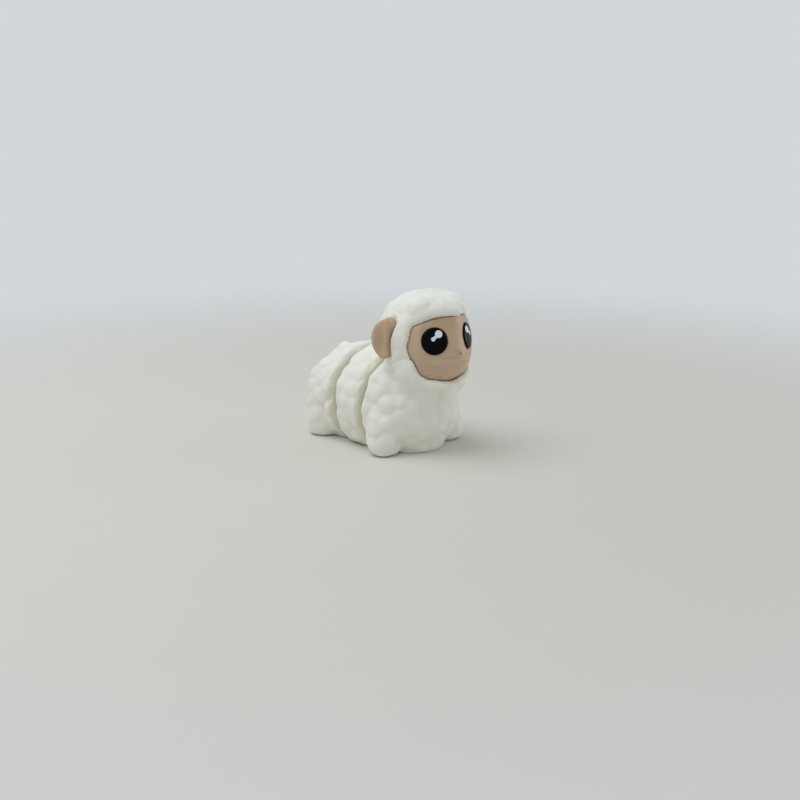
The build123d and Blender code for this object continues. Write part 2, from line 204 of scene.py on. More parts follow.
# Shape of an ear: a hollow and a fold on its outer face, its rear filled out, its front edge tucked in and
# its top corner drawn back and down
EAR_HOLLOW = Dent(depth=0.5 * MM, across=-0.9 * MM, width=1.1 * MM, along=-2.0 * MM, length=2.6 * MM)
EAR_FOLD = Dent(depth=0.25 * MM, across=0.6 * MM, width=0.5 * MM, along=-2.2 * MM, length=2.4 * MM)
EAR_FACING_EASE = (0, 0.7)
EAR_OUT_EASE = (0, 0.5 * MM)
EAR_FILL = 0.5 * MM
EAR_FILL_LEVEL = 0.25
EAR_REAR_SHARE = 0.7
EAR_BOTTOM_SHARE = 0.4
EAR_TUCK = 1.4 * MM
EAR_TUCK_EASE = (0.6 * MM, 2.6 * MM)
EAR_TUCK_TOP_SHARE = 0.6
EAR_TUCK_BACK_SHARE = 0.4
EAR_TOP_EASE = (0.5 * MM, 4 * MM)
EAR_CORNER = 0.6 * MM
EAR_CORNER_EASE = (1 * MM, 6 * MM)
EAR_FRONT_EASE = (0, 2.5 * MM)
EAR_DROP = 0.7 * MM
EAR_DROP_EASE = (2 * MM, 6.5 * MM)

# Softening of the ears and eyes
EAR_ROUNDS = 110
EYE_FACE_SIZE = 0.07 * MM
EYE_ROUNDS = 10
HIGHLIGHT_ROUNDS = 3
INLAY_EASE = (0.15 * MM, 0.5 * MM)
INLAY_REACH = 1 * MM

# Finish of the plastics: noise scales, how much each noise adds to the tone, roughness and bump heights
FLEECE_PATCH_SCALE = 240.0
FLEECE_GRAIN_SCALE = 2600.0
FLEECE_GRAIN_STRETCH = (1.0, 1.0, 2.5)
FLEECE_GRAIN_HEIGHT = 0.02 * MM
# How much the painted shade of the lumps adds to the fleece's tone
FLEECE_CREST_TONE = 0.8
FLEECE_PATCH_TONE = 0.3
FLEECE_TONE_EASE = (0.1, 0.95)
FLEECE_ROUGHNESS = (0.5, 0.62)
TAN_LAYER_SCALE = (60.0, 60.0, 4200.0)
TAN_LAYER_HEIGHT = 0.03 * MM
TAN_STREAK_SCALE = (90.0, 90.0, 1500.0)
TAN_PATCH_SCALE = 320.0
TAN_STREAK_TONE = 0.55
TAN_PATCH_TONE = 0.45
# Strength of the painted shade in the nose's notch
TAN_NOTCH_SHADE = 0.85
TAN_ROUGHNESS = (0.46, 0.58)
EYE_HAZE_SCALE = 900.0
EYE_HAZE_COLOUR = (0.0018, 0.0018, 0.0024)
EYE_ROUGHNESS = (0.16, 0.24)
EYE_COAT = (0.025, 0.04)
HIGHLIGHT_HAZE_SCALE = 1500.0
HIGHLIGHT_DULL_SHARE = 0.93
HIGHLIGHT_ROUGHNESS = (0.26, 0.36)
HAZE_HEIGHT = 0.006 * MM
WIDE_EASE = (0.2, 0.8)
NARROW_EASE = (0.3, 0.7)

# The photograph's camera and the lamps, with the lamps' directions as shares of right, up and back
CAMERA_AIM = Vector((2.82, -1.52, 12.95)) * MM
CAMERA_PLACE = Vector((233.1, -207.4, 92.85)) * MM
CAMERA_LENS = 49.5
SENSOR_WIDTH = 36.0
KEY_SHARES = (-0.5, 1.1, 0.4)
KEY_DISTANCE = 0.45
KEY_SIZE = 0.42
FILL_SHARES = (1.0, 0.12, -0.2)
FILL_DISTANCE = 0.5
FILL_SIZE = 0.4
LIGHT_COLOUR = (0.95, 0.985, 1.0)
FLOOR_RADIUS = 1.6
FLOOR_FADE = (0.07, 0.34)


# Small helpers


def ease(value, low, high):
    """0 below low, 1 above high and a smooth step between them."""
    share = min(max((value - low) / (high - low), 0), 1)
    return share * share * (3 - 2 * share)


def bell(*shares):
    """1 where all the shares are 0, falling smoothly to 0 as any of them grows."""
    return math.exp(-sum(share * share for share in shares))


def linear(red, green, blue):
    """A colour given as it looks on a screen, from 0 to 255, as the linear colour that a shader takes."""
    shares = (channel / 255 for channel in (red, green, blue))
    return tuple(((share + 0.055) / 1.055) ** 2.4 for share in shares)


def search_tree(*pieces):
    """Search tree over the faces of some objects."""
    shape = bmesh.new()
    for piece in pieces:
        shape.from_mesh(piece.data)
    tree = BVHTree.FromBMesh(shape)
    shape.free()
    return tree


def away_from(tree, point, reach):
    """Distance from a point to a search tree's nearest face, or reach if that is nearer."""
    found = tree.find_nearest(point, reach)
    return reach if found[3] is None else found[3]


def new_object(name, shape):
    """Makes an object from a bmesh, smooth shaded, and frees the bmesh."""
    mesh = bpy.data.meshes.new(name)
    shape.to_mesh(mesh)
    shape.free()
    mesh.shade_smooth()
    made = bpy.data.objects.new(name, mesh)
    bpy.context.scene.collection.objects.link(made)
    return made


def bake_modifiers(piece):
    """Puts the result of a piece's modifiers into its mesh and takes them off."""
    bpy.context.view_layer.update()
    shown = piece.evaluated_get(bpy.context.evaluated_depsgraph_get())
    mesh = bpy.data.meshes.new_from_object(shown)
    piece.modifiers.clear()
    old = piece.data
    piece.data = mesh
    bpy.data.meshes.remove(old)
    mesh.shade_smooth()


def even_copy(name, node, voxel):
    """A copy of a CAD node's mesh in even small faces, ready to be shaped."""
    shape = bmesh.new()
    shape.from_mesh(frame["nodes"][node].data)
    bmesh.ops.remove_doubles(shape, verts=shape.verts, dist=0.002 * MM)
    piece = new_object(name, shape)
    remesh = piece.modifiers.new("even faces", "REMESH")
    remesh.mode = "VOXEL"
    remesh.voxel_size = voxel
    remesh.adaptivity = 0
    bake_modifiers(piece)
    return piece


def soften(piece, weights, rounds, limits=()):
    """Rounds a piece's edges, each point by its own weight and within its own limit, where one is given."""
    before = [vertex.co.copy() for vertex in piece.data.vertices]
    group = piece.vertex_groups.new(name="soft")
    for index, weight in enumerate(weights):
        if weight > 0:
            group.add([index], weight, "REPLACE")
    smooth = piece.modifiers.new("soft", "SMOOTH")
    smooth.factor = 0.5
    smooth.iterations = rounds
    smooth.vertex_group = "soft"
    bake_modifiers(piece)
    piece.vertex_groups.clear()
    for vertex, start, limit in zip(piece.data.vertices, before, limits):
        move = vertex.co - start
        vertex.co = start + move / math.hypot(1, move.length / limit)
    piece.data.update()


def keep_values(piece, name, values):
    """Stores one number a point on a piece, for its material."""
    attribute = piece.data.attributes.new(name, "FLOAT", "POINT")
    attribute.data.foreach_set("value", values)


# Shader maths


class Socket:
    """An output of a shader node that can be used in sums."""

    def __init__(self, tree, output):
        self.tree = tree
        self.output = output

    def combine(self, operation, other):
        """This output and another output or number, put through one maths node."""
        return self.tree.add("ShaderNodeMath", {"operation": operation}, {0: self, 1: other})

    def __add__(self, other):
        return self.combine("ADD", other)

    def __mul__(self, other):
        return self.combine("MULTIPLY", other)


class Tree:
    """A node tree that is filled one node at a time."""

    def __init__(self, nodes_owner):
        nodes_owner.use_nodes = True
        self.tree = nodes_owner.node_tree
        self.tree.nodes.clear()

    def add(self, kind, settings=None, sockets=None, output=0):
        """Adds a node: its settings first, then the values or links of its sockets."""
        node = self.tree.nodes.new(kind)
        for name, value in (settings or {}).items():
            setattr(node, name, value)
        for name, value in (sockets or {}).items():
            self.feed(node, name, value)
        return Socket(self, node.outputs[output]) if node.outputs else node

    def feed(self, node, name, value):
        """Sets one socket of a node to a value, or links it."""
        if isinstance(value, Socket):
            self.tree.links.new(value.output, node.inputs[name])
        elif isinstance(value, tuple) and node.inputs[name].type == "RGBA":
            node.inputs[name].default_value = (*value[:3], 1)
        else:
            node.inputs[name].default_value = value

    def place(self):
        """Object coordinates, in metres."""
        return self.add("ShaderNodeTexCoord", output="Object")

    def attribute(self, name):
        """A number stored on the piece's points."""
        return self.add("ShaderNodeAttribute", {"attribute_name": name}, output="Fac")

    def scaled(self, vector, scale):
        """A vector with each of its parts made longer."""
        return self.add("ShaderNodeVectorMath", {"operation": "MULTIPLY"}, {0: vector, 1: scale})

    def noise(self, vector, scale, detail):
        """Smooth noise from 0 to 1."""
        return self.add("ShaderNodeTexNoise", {}, {"Vector": vector, "Scale": scale, "Detail": detail})

    def remap(self, value, low, high, to_low=0.0, to_high=1.0):
        """A value stretched from one range to another, smoothly and within the new range."""
        settings = {"interpolation_type": "SMOOTHSTEP", "clamp": True}
        sockets = {"Value": value, "From Min": low, "From Max": high, "To Min": to_low, "To Max": to_high}
        return self.add("ShaderNodeMapRange", settings, sockets)

    def blend(self, share, first, second):
        """One colour passing into another."""
        return self.add(
            "ShaderNodeMix",
            {"data_type": "RGBA", "blend_type": "MIX"},
            {"Factor": share, 6: first, 7: second},
            output=2,
        )

    def bump(self, height, distance, strength=1.0):
        """A normal from a height, whose full range stands as far out as distance."""
        return self.add("ShaderNodeBump", {}, {"Height": height, "Distance": distance, "Strength": strength})

    def plastic(self, sockets):
        """Ends the tree in one plastic shader with these sockets."""
        shader = self.add("ShaderNodeBsdfPrincipled", {}, sockets)
        self.add("ShaderNodeOutputMaterial", {}, {"Surface": shader})


def new_material(name):
    """A material and the tree that it is made in."""
    material = bpy.data.materials.new(name)
    return material, Tree(material)


def dress(piece, material):
    """Gives a piece its one material."""
    piece.data.materials.clear()
    piece.data.materials.append(material)


def fleece_material(settings):
    """Matt ivory plastic with painted shade: a little darker and warmer in the valleys of the fleece and
    along the gaps between segments, with random patches of tone.
    """
    material, tree = new_material("ivory fleece plastic")
    place = tree.place()
    crest = tree.attribute("fleece")
    patches = tree.noise(place, FLEECE_PATCH_SCALE, 3.0)
    grain = tree.noise(tree.scaled(place, FLEECE_GRAIN_STRETCH), FLEECE_GRAIN_SCALE, 2.0)
    # Tone: painted shade from the height of the lumps and from the rims, with random patches
    tone = tree.remap(crest * FLEECE_CREST_TONE + patches * FLEECE_PATCH_TONE, *FLEECE_TONE_EASE)
    tree.plastic(
        {
            "Base Color": tree.blend(tone, tuple(settings.valley_shade_colour), tuple(settings.crest_colour)),
            "Roughness": tree.remap(patches, *WIDE_EASE, *FLEECE_ROUGHNESS),
            "Subsurface Weight": 0.12,
            "Subsurface Radius": (1.0, 0.9, 0.7),
            "Subsurface Scale": 0.8 * MM,
            "Normal": tree.bump(grain, FLEECE_GRAIN_HEIGHT, 0.5),
        }
    )
    return material


def tan_material(name, settings, seam):
    """Matt tan plastic with the fine layer lines of a print; seam names the attribute of its dark rim, which
    is painted shade where the face meets the fleece.
    """
    material, tree = new_material(name)
    place = tree.place()
    layers = tree.noise(tree.scaled(place, TAN_LAYER_SCALE), 1.0, 1.0)
    streaks = tree.noise(tree.scaled(place, TAN_STREAK_SCALE), 1.0, 2.0)
    patches = tree.noise(place, TAN_PATCH_SCALE, 3.0)
    tone = tree.remap(streaks * TAN_STREAK_TONE + patches * TAN_PATCH_TONE, *NARROW_EASE)
    colour = tree.blend(tone, tuple(settings.dark_colour), tuple(settings.light_colour))
    if seam:
        # Painted shade: a dark rim where the face meets the fleece
        edge = tree.attribute(seam)
        colour = tree.blend(edge, tuple(settings.seam_shade_colour), colour)
        # Painted shade in the notch of the nose
        notch = tree.attribute("nose") * TAN_NOTCH_SHADE
        colour = tree.blend(notch, colour, tuple(settings.notch_shade_colour))
    tree.plastic(
        {
            "Base Color": colour,
            "Roughness": tree.remap(streaks, *NARROW_EASE, *TAN_ROUGHNESS),
            "Subsurface Weight": 0.05,
            "Subsurface Radius": (1.0, 0.7, 0.5),
            "Subsurface Scale": 0.5 * MM,
            "Normal": tree.bump(layers, TAN_LAYER_HEIGHT, 0.45),
        }
    )
    return material


def eye_material(settings):
    """Polished black plastic with a faint haze."""
    material, tree = new_material("glossy black eye")
    haze = tree.noise(tree.place(), EYE_HAZE_SCALE, 3.0)
    tree.plastic(
        {
            "Base Color": tree.blend(haze, tuple(settings.eye_colour), EYE_HAZE_COLOUR),
            "Roughness": tree.remap(haze, *NARROW_EASE, *EYE_ROUGHNESS),
            "Specular IOR Level": 0.05,
            "Coat Weight": tree.remap(haze, *WIDE_EASE, *EYE_COAT),
            "Coat Roughness": 0.1,
            "Normal": tree.bump(haze, HAZE_HEIGHT, 0.3),
        }
    )
    return material


def highlight_material(settings):
    """White plastic of the inlaid highlights, satin on top."""
    material, tree = new_material("white eye highlight")
    haze = tree.noise(tree.place(), HIGHLIGHT_HAZE_SCALE, 2.0)
    white = tuple(settings.highlight_colour)
    dull = tuple(channel * HIGHLIGHT_DULL_SHARE for channel in white)
    tree.plastic(
        {
            "Base Color": tree.blend(haze, dull, white),
            "Roughness": tree.remap(haze, *NARROW_EASE, *HIGHLIGHT_ROUGHNESS),
            "Normal": tree.bump(haze, HAZE_HEIGHT, 0.3),
        }
    )
    return material


# Fleece


def hinge_clear(point):
    """0 in and beside the hinges, where nothing may change, and 1 elsewhere."""
    for x in HINGE_X:
        inside = math.hypot(point.x - x, point.y) < HINGE_CLEAR_RADIUS
        mouth = abs(point.y) < HINGE_CLEAR_RADIUS and x - HINGE_MOUTH_LENGTH < point.x < x
        if point.z < HINGE_CLEAR_HEIGHT and (inside or mouth):
            return 0
    return 1


def wedge_distance(point, rim_x):
    """How far a point lies behind the slanting front planes of a following segment."""
    ridge = rim_x - WEDGE_GAP - abs(point.y) * math.tan(SWING)
    return (ridge - point.x) * math.cos(SWING)


def front_freedom(point):
    """How freely a point on the front segment may move along each axis, clear of its flat rear faces."""
    flat = math.hypot(max(point.x - FRONT_RIM_X, 0), max(point.z - OVERHANG_Z, 0))
    below = ease(FRONT_RIM_X + OVERHANG_REACH - point.x, 0, OVERHANG_FADE)
    under = below * (1 - ease(abs(point.z - OVERHANG_Z), *OVERHANG_EASE))
    return Vector((ease(flat, *RIM_EASE), 1, 1 - under))


def middle_freedom(point):
    """How freely a point on the middle segment may move, clear of its rear and slanting front faces."""
    flat = min(point.x - MIDDLE_RIM_X, wedge_distance(point, FRONT_RIM_X))
    return Vector((ease(flat, *RIM_EASE), 1, 1))


def rear_freedom(point):
    """How freely a point on the rear segment may move, clear of its slanting front faces."""
    return Vector((ease(wedge_distance(point, MIDDLE_RIM_X), *RIM_EASE), 1, 1))


def swelling(point, swells):
    """How far a point stands out, summed over round swells given as place, reach and rise in millimetres."""
    total = 0
    for place, reach, rise in swells:
        total += rise * (1 - ease((point - Vector(place) * MM).length, 0, reach * MM))
    return total * MM


def pull(point):
    """Move of the seam round the face at a point, for the face and the fleece, alike on both sides."""
    mirrored = Vector((point.x, abs(point.y), point.z))
    total = Vector()
    for place, reach, move in PULLS:
        total += Vector(move) * (1 - ease((mirrored - Vector(place) * MM).length, 0, reach * MM))
    return total * MM


def scattered(points, spacing, seed):
    """Some of the points, in a seeded random order and none nearer to another than spacing."""
    order = list(range(len(points)))
    random.Random(seed).shuffle(order)
    cells = {}
    chosen = []
    for index in order:
        point = points[index]
        cell = tuple(math.floor(part / spacing) for part in point)
        near = (
            other
            for x in (-1, 0, 1)
            for y in (-1, 0, 1)
            for z in (-1, 0, 1)
            for other in cells.get((cell[0] + x, cell[1] + y, cell[2] + z), ())
        )
        if all((other - point).length > spacing for other in near):
            cells.setdefault(cell, []).append(point)
            chosen.append(point)
    return chosen


def lump_heights(points, spacing, seed):
    """Height of the fleece at each point, about 0.4 in a valley and 1 on a lump."""
    centres = scattered(points, spacing * CENTRE_SPACING_SHARE, seed)
    draw = random.Random(seed + 1)
    lumps = [
        (spacing * draw.uniform(*LUMP_REACH_SHARES), draw.uniform(*LUMP_RISE_SHARES)) for _ in centres
    ]
    tree = kdtree.KDTree(len(centres))
    for index, centre in enumerate(centres):
        tree.insert(centre, index)
    tree.balance()
    heights = []
    for point in points:
        total = math.exp(VALLEY_SHARE * LUMP_SHARPNESS)
        for _, index, distance in tree.find_n(point, NEAREST_LUMPS):
            reach, rise = lumps[index]
            total += math.exp(LUMP_SHARPNESS * rise * max(1 - (distance / reach) ** 2, LOWEST_SHARE))
        heights.append(math.log(total) / LUMP_SHARPNESS)
    return heights


def soften_fleece(piece, points, gaps, clear, rounds):
    """Rounds a fleece everywhere a little, and then much more away from the ground and its neighbours."""
    light = [SMALL_MOVE + LIGHT_MOVE * ease(point.z, *LIGHT_SOLE_EASE) for point in points]
    soften(piece, clear, LIGHT_ROUNDS, light)
    strong = []
    for point, gap in zip(points, gaps):
        free = min(ease(point.z, *STRONG_SOLE_EASE), ease(gap, *STRONG_NEIGHBOUR_EASE))
        strong.append(SMALL_MOVE + STRONG_MOVE * free)
    soften(piece, clear, rounds, strong)


def fleece_rise(point, height, share_along, head, settings, swells):
    """How far the fleece stands out at a point, lumps and broad swells together."""
    depth = settings.lump_depth + (settings.head_lump_depth - settings.lump_depth) * head
    swell = settings.swell_depth * noise.noise(point / settings.swell_spacing)
    knead = settings.knead_depth * noise.noise(point / settings.knead_spacing)
    rise = (height - settings.lump_level - HEAD_LEVEL_SHARE * head) * depth
    rise += RIM_LUMP_SHARE * (height - RIM_LEVEL_SHARE) * depth * (1 - share_along.x)
    return rise + (swell + knead + swelling(point, swells))


def grow_fleece(name, node, freedom, neighbours, size, rounds, settings, seed):
    """Makes the woolly skin of one segment over its solid: softened, then covered with lumps."""
    piece = even_copy(name, node, size)
    tree = search_tree(*(frame["nodes"][neighbour] for neighbour in neighbours))
    face = search_tree(frame["nodes"]["face_insert"])
    points = [vertex.co.copy() for vertex in piece.data.vertices]
    clear = [hinge_clear(point) for point in points]
    gaps = [away_from(tree, point, NEIGHBOUR_REACH) for point in points]
    face_gaps = [away_from(face, point, NEIGHBOUR_REACH) for point in points]
    soften_fleece(piece, points, gaps, clear, round(rounds * (ROUNDS_FACE_SIZE / size) ** 2))
    points = [vertex.co.copy() for vertex in piece.data.vertices]
    normals = [vertex.normal.copy() for vertex in piece.data.vertices]
    heights = lump_heights(points, settings.lump_spacing, seed)
    painted_shade_tones = []
    for vertex, normal, height, free, gap, face_gap in zip(
        piece.data.vertices, normals, heights, clear, gaps, face_gaps
    ):
        point = vertex.co.copy()
        share = free * min(ease(point.z, *SOLE_EASE), ease(gap, *NEIGHBOUR_EASE))
        lip = settings.lip_depth * ease(face_gap, *LIP_RISE_EASE) * (1 - ease(face_gap, *LIP_FALL_EASE))
        head = ease(point.z, *HEAD_EASE) if node == "front_segment" else 0
        share_along = freedom(point)
        rise = fleece_rise(point, height, share_along, head, settings, SWELLS[node]) * share + lip * free
        move = Vector(part * axis for part, axis in zip(normal, share_along)) * rise
        vertex.co = point + move + pull(point)
        vertex.co.z = max(vertex.co.z, min(point.z, 0))
        # Painted shade: the tone follows the lumps' height, darker in the valleys and darker still at the
        # rims, in the gaps between segments
        crest = height * share + BARE_CREST_SHARE * (1 - share)
        painted_shade_tones.append(crest * (RIM_SHADE_SHARE + (1 - RIM_SHADE_SHARE) * share_along.x))
    keep_values(piece, "fleece", painted_shade_tones)
    piece.data.update()
    dress(piece, fleece_material(settings))
    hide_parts(node)
    return piece


# Settings


class SheepFleeceSettings(bpy.types.PropertyGroup):
    """Sizes and colours of the fleece."""

    front_face_size: FloatProperty(
        name="Front Face Size",
        description="Size of the small even faces that the front fleece is made of",
        default=0.26 * MM, min=0.15 * MM, unit="LENGTH",
    )
    barrel_face_size: FloatProperty(
        name="Barrel Face Size",
        description="Size of the small even faces that the other fleece is made of",
        default=0.34 * MM, min=0.15 * MM, unit="LENGTH",
    )
    front_rounds: IntProperty(
        name="Front Softening",
        description="Rounds of softening on the front segment",
        default=90, min=0,
    )
    barrel_rounds: IntProperty(
        name="Barrel Softening",
        description="Rounds of softening on the middle and rear segments",
        default=80, min=0,
    )
    lump_spacing: FloatProperty(
        name="Lump Spacing",
        description="Distance between neighbouring lumps",
        default=4.9 * MM, min=1 * MM, unit="LENGTH",
    )
    lump_depth: FloatProperty(
        name="Lump Depth",
        description="Height of a lump on the body over its valleys",
        default=0.85 * MM, min=0, unit="LENGTH",
    )
    head_lump_depth: FloatProperty(
        name="Head Lump Depth",
        description="Height of a lump on the head over its valleys",
        default=0.35 * MM, min=0, unit="LENGTH",
    )
    lump_level: FloatProperty(
        name="Lump Level",
        description="Share of a lump's height that lies in the solid",
        default=0.4, min=0, max=1, subtype="FACTOR",
    )
    lip_depth: FloatProperty(
        name="Lip Depth",
        description="How far the fleece stands up beside the face",
        default=0.4 * MM, min=0, unit="LENGTH",
    )
    swell_depth: FloatProperty(
        name="Swell Depth",
        description="Height of the broad swells under the lumps",
        default=0.3 * MM, min=0, unit="LENGTH",
    )
    swell_spacing: FloatProperty(
        name="Swell Spacing",
        description="Distance over which the broad swells rise and fall",
        default=6.5 * MM, min=1 * MM, unit="LENGTH",
    )
    knead_depth: FloatProperty(
        name="Knead Depth",
        description="Height of the small unevenness on the lumps",
        default=0.12 * MM, min=0, unit="LENGTH",
    )
    knead_spacing: FloatProperty(
        name="Knead Spacing",
        description="Distance over which the small unevenness rises and falls",
        default=1.6 * MM, min=0.2 * MM, unit="LENGTH",
    )
    crest_colour: FloatVectorProperty(
        name="Crest Colour", description="Colour on top of the lumps",
        default=linear(243, 243, 236), min=0, max=1, subtype="COLOR",
    )
    # Colour of the painted shade in the valleys between the lumps and at the rims by the gaps between
    # segments
    valley_shade_colour: FloatVectorProperty(
        name="Valley Colour", description="Colour in the valleys between the lumps",
        default=linear(237, 234, 218), min=0, max=1, subtype="COLOR",
    )


class SheepFaceSettings(bpy.types.PropertyGroup):
    """Sizes and colours of the face and the ears."""

    face_size: FloatProperty(
        name="Face Size",
        description="Size of the small even faces that the face and the ears are made of",
        default=0.18 * MM, min=0.1 * MM, unit="LENGTH",
    )
    # Width of the painted shade along the seam where the face meets the fleece
    seam_shade_width: FloatProperty(
        name="Seam Width",
        description="Width of the dark rim where the face meets the fleece",
        default=0.22 * MM, min=0.05 * MM, unit="LENGTH",
    )
    light_colour: FloatVectorProperty(
        name="Light Tan", description="Lighter tone of the tan plastic",
        default=linear(205, 178, 150), min=0, max=1, subtype="COLOR",
    )
    dark_colour: FloatVectorProperty(
        name="Dark Tan", description="Darker tone of the tan plastic",
        default=linear(198, 170, 141), min=0, max=1, subtype="COLOR",
    )
    # Colour of the painted shade along the seam where the face meets the fleece
    seam_shade_colour: FloatVectorProperty(
        name="Seam Colour", description="Colour of the rim where the face meets the fleece",
        default=linear(110, 84, 58), min=0, max=1, subtype="COLOR",
    )
    # Colour of the painted shade in the notch of the nose
    notch_shade_colour: FloatVectorProperty(
        name="Nose Colour", description="Colour in the notch of the nose",
        default=linear(120, 74, 60), min=0, max=1, subtype="COLOR",
    )


class SheepEyeSettings(bpy.types.PropertyGroup):
    """Colours of the eyes and their highlights."""

    eye_colour: FloatVectorProperty(
        name="Eye Colour", description="Colour of the eyes",
        default=(0.0008, 0.0008, 0.001), min=0, max=1, subtype="COLOR",
    )
    highlight_colour: FloatVectorProperty(
        name="Highlight Colour", description="Colour of the highlights",
        default=linear(240, 245, 255), min=0, max=1, subtype="COLOR",
    )


class SheepStageSettings(bpy.types.PropertyGroup):
    """Light, floor and camera."""

    floor_colour: FloatVectorProperty(
        name="Floor Colour", description="Colour of the floor",
        default=linear(222, 219, 211), min=0, max=1, subtype="COLOR",
    )
    backdrop_colour: FloatVectorProperty(
        name="Backdrop Colour", description="Colour behind the object, as it looks",
        default=linear(210, 215, 219), min=0, max=1, subtype="COLOR",
    )
    sky_light: FloatProperty(
        name="Sky Light", description="Strength of the even light from all round",
        default=0.46, min=0,
    )
    key_power: FloatProperty(
        name="Key Power", description="Power of the large lamp above on the left",
        default=1.0, min=0, unit="POWER",
    )
    fill_power: FloatProperty(
        name="Fill Power", description="Power of the lamp on the right",
        default=0.55, min=0, unit="POWER",
    )


# Operators


class SHEEP_OT_fleece(bpy.types.Operator):
    """Make the woolly skins of the three segments"""

    bl_idname = "sheep.fleece"
    bl_label = "Fleece"

    def execute(self, context):
        settings = context.scene.sheep_fleece
        skins = (
            ("front", front_freedom, ("face_insert", "right_ear", "left_ear"), FLEECE_SEEDS[0]),
            ("middle", middle_freedom, (), FLEECE_SEEDS[1]),
            ("rear", rear_freedom, (), FLEECE_SEEDS[2]),
        )
        for body, freedom, neighbours, seed in skins:
            size, rounds = settings.barrel_face_size, settings.barrel_rounds
            if body == "front":
                size, rounds = settings.front_face_size, settings.front_rounds
            name, node = f"{body}_fleece", f"{body}_segment"
            skin = grow_fleece(name, node, freedom, neighbours, size, rounds, settings, seed)
            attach(skin, body)
        return {"FINISHED"}


class SHEEP_OT_face(bpy.types.Operator):
    """Make the tan face with its softened ridge and nose"""

    bl_idname = "sheep.face"
    bl_label = "Face"

    def execute(self, context):
        settings = context.scene.sheep_face
        face = even_copy("face", "face_insert", settings.face_size)
        eyes = search_tree(frame["nodes"]["right_eye"], frame["nodes"]["left_eye"])
        wool = search_tree(bpy.data.objects["front_fleece"])
        points = [vertex.co.copy() for vertex in face.data.vertices]
        gaps = [away_from(eyes, point, SEAM_REACH) for point in points]
        soften(face, [ease(gap, *EYE_EASE) for gap in gaps], FACE_ROUNDS)
        tip = Vector((FACE_FRONT_X, 0, NOSE_Z))
        soften(face, [1 - ease((point - tip).length, *NOSE_EASE) for point in points], NOSE_ROUNDS)
        for vertex, point in zip(face.data.vertices, points):
            vertex.co.x -= self.hollow(vertex.co)
            vertex.co += pull(point)
        # Painted shade along the seam with the fleece, lighter along the brow
        seam = []
        notch = []
        for point in points:
            gap = away_from(wool, point + pull(point), SEAM_REACH)
            edge = ease(gap, SEAM_START, SEAM_START + settings.seam_shade_width)
            seam.append(max(edge, BROW_FADE_SHARE * ease(point.z, *BROW_EASE)))
            # Painted shade in the notch of the nose
            in_notch_shade = bell(abs(point.y) / NOTCH_SHADE_WIDTH, (point.z - NOSE_Z) / NOTCH_SHADE_HEIGHT)
            notch.append(in_notch_shade if point.x > NOSE_FROM_X else 0)
        keep_values(face, "seam", seam)
        keep_values(face, "nose", notch)
        dress(face, tan_material("tan face plastic", settings, "seam"))
        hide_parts("face_insert")
        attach(face, "front")
        return {"FINISHED"}

    def hollow(self, point):
        """Depth at a point of the crease of the muzzle and of the notch and folds of the nose."""
        if point.x < NOSE_FROM_X:
            return 0
        side, rise = abs(point.y), point.z - NOSE_Z
        crease = CREASE_DEPTH * bell((rise + CREASE_DROP) / CREASE_WIDTH)
        crease *= ease(CREASE_REACH - side, 0, CREASE_FADE)
        notch = NOTCH_DEPTH * bell(side / NOTCH_WIDTH, rise / NOTCH_HEIGHT)
        folds = FOLD_DEPTH * bell((rise - FOLD_SLOPE * side) / FOLD_WIDTH)
        folds *= ease(FOLD_REACH - side, 0, FOLD_FADE)
        mound = MOUND_HEIGHT * bell(side / MOUND_WIDTH, (rise - MOUND_RISE) / MOUND_REACH)
        return crease + notch + folds - mound


class SHEEP_OT_ears(bpy.types.Operator):
    """Make the two drooping ears"""

    bl_idname = "sheep.ears"
    bl_label = "Ears"

    def execute(self, context):
        settings = context.scene.sheep_face
        material = tan_material("tan ear plastic", settings, None)
        for side in ("right", "left"):
            ear = even_copy(f"{side}_ear_shape", f"{side}_ear", settings.face_size)
            soften(ear, [1] * len(ear.data.vertices), EAR_ROUNDS)
            self.shape(ear, -1 if side == "right" else 1)
            dress(ear, material)
            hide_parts(f"{side}_ear")
            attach(ear, "front")
        return {"FINISHED"}

    def shape(self, ear, side):
        """Fills a softened ear out again, hollows it, tucks its front edge in and lowers its top."""
        low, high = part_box("right_ear" if side < 0 else "left_ear")
        middle = Vector((EAR_ROOT[0], side * EAR_ROOT[1], (low.z + high.z) / 2))
        forward = Vector((math.sin(EAR_TURN), -side * math.cos(EAR_TURN), 0))
        outward = Vector((math.cos(EAR_TURN), side * math.sin(EAR_TURN), 0))
        normals = [vertex.normal.copy() for vertex in ear.data.vertices]
        for vertex, normal in zip(ear.data.vertices, normals):
            place = vertex.co - middle
            across, out = place.dot(forward), place.dot(outward)
            facing = ease(normal.dot(outward), *EAR_FACING_EASE) * ease(out, *EAR_OUT_EASE)
            hollow = EAR_HOLLOW.depth * EAR_HOLLOW.at(across, place.z)
            fold = EAR_FOLD.depth * EAR_FOLD.at(across, place.z)
            rear = EAR_FILL_LEVEL - EAR_REAR_SHARE * normal.dot(forward) - EAR_BOTTOM_SHARE * normal.z
            fill = EAR_FILL * min(max(rear, 0), 1)
            tuck = EAR_TUCK * ease(across, *EAR_TUCK_EASE)
            tuck *= 1 - EAR_TUCK_TOP_SHARE * ease(place.z, *EAR_TOP_EASE)
            corner = EAR_CORNER * ease(place.z, *EAR_CORNER_EASE) * ease(across, *EAR_FRONT_EASE)
            drop = EAR_DROP * ease(place.z, *EAR_DROP_EASE)
            vertex.co += normal * (fill + (fold - hollow) * facing)
            vertex.co -= outward * tuck + forward * (EAR_TUCK_BACK_SHARE * tuck + corner)
            vertex.co.z -= drop
        ear.data.update()


